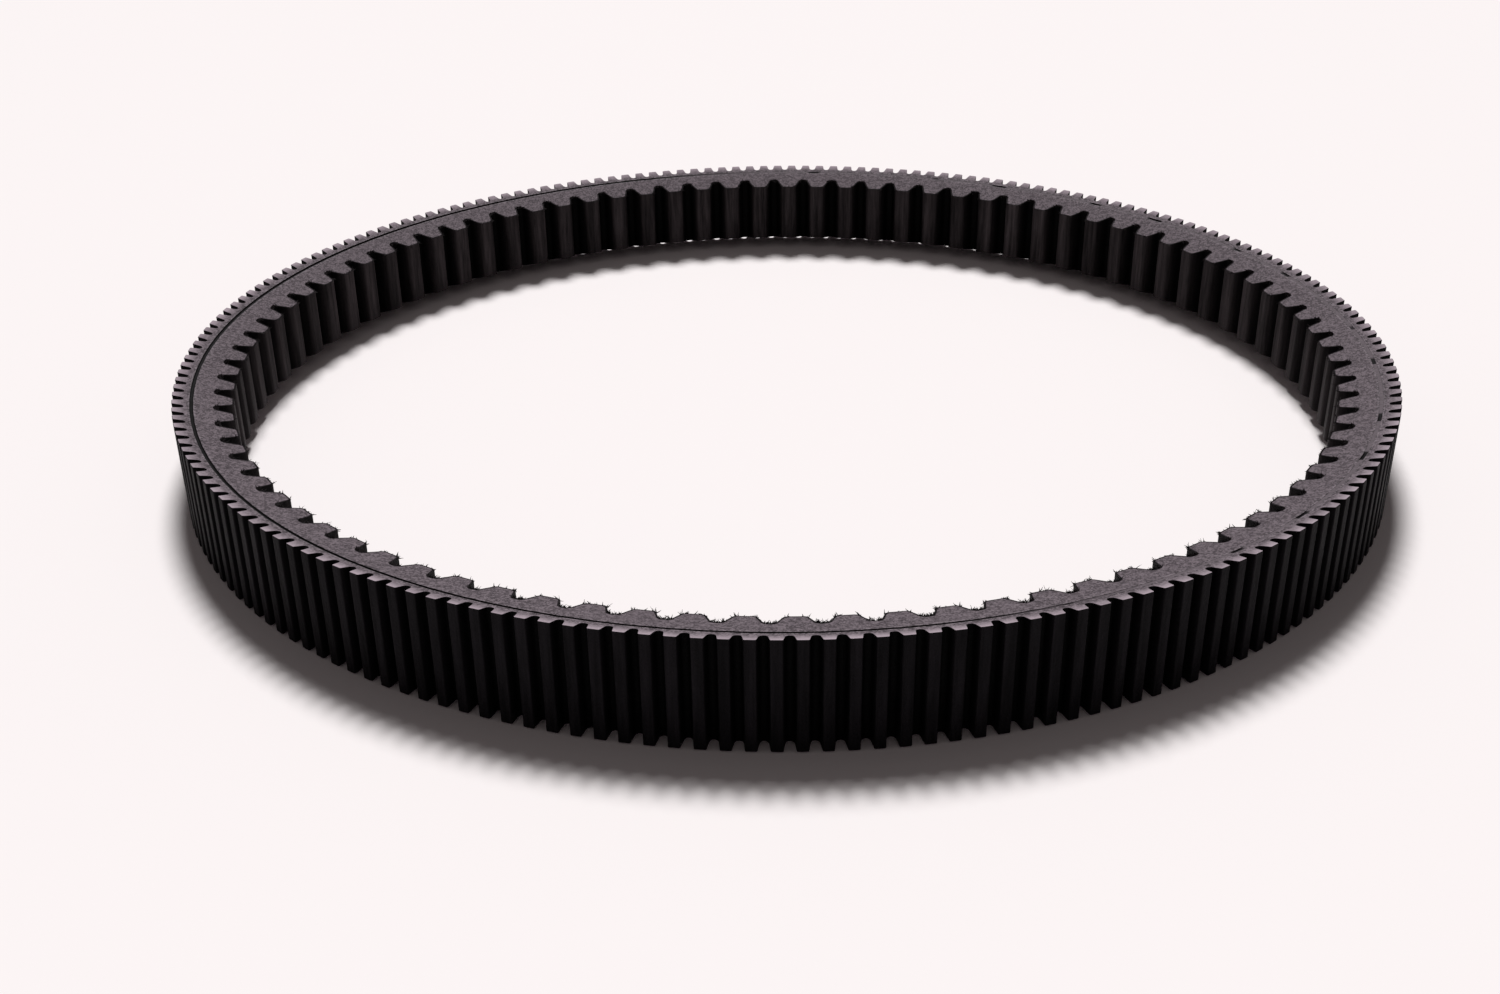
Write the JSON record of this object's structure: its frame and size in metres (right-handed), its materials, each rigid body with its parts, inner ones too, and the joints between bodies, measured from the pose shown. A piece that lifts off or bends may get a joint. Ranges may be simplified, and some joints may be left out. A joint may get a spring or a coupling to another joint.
{
  "type": "variable-speed v-belt",
  "caption": "Endless raw-edge variable-speed V-belt with fine cogs outside and coarse cogs inside, lying on its side.",
  "frame": {"origin": "on the belt's axis, at the level that the lower rim of the outer cogs rests on", "axes": "+Z along the belt's axis, upwards as the belt lies on its side; +X and +Y across the loop"},
  "size_m": [0.336, 0.336, 0.027],
  "materials": {
    "overcord_rubber": "raw-cut fibre-loaded rubber",
    "cushion_gum": "soft cured gum",
    "tensile_cord": "dipped, twisted cord",
    "undercord_rubber": "raw-cut fibre-loaded rubber",
    "facing_fabric": "knitted facing fabric, rubber-impregnated"
  },
  "bodies": {
    "root": {"overcord": "overcord_rubber", "upper_cushion_gum": "cushion_gum", "tensile_cord_s": "tensile_cord", "tensile_cord_z": "tensile_cord", "lower_cushion_gum": "cushion_gum", "undercord": "undercord_rubber", "inner_facing_fabric": "facing_fabric"}
  },
  "joints": []
}
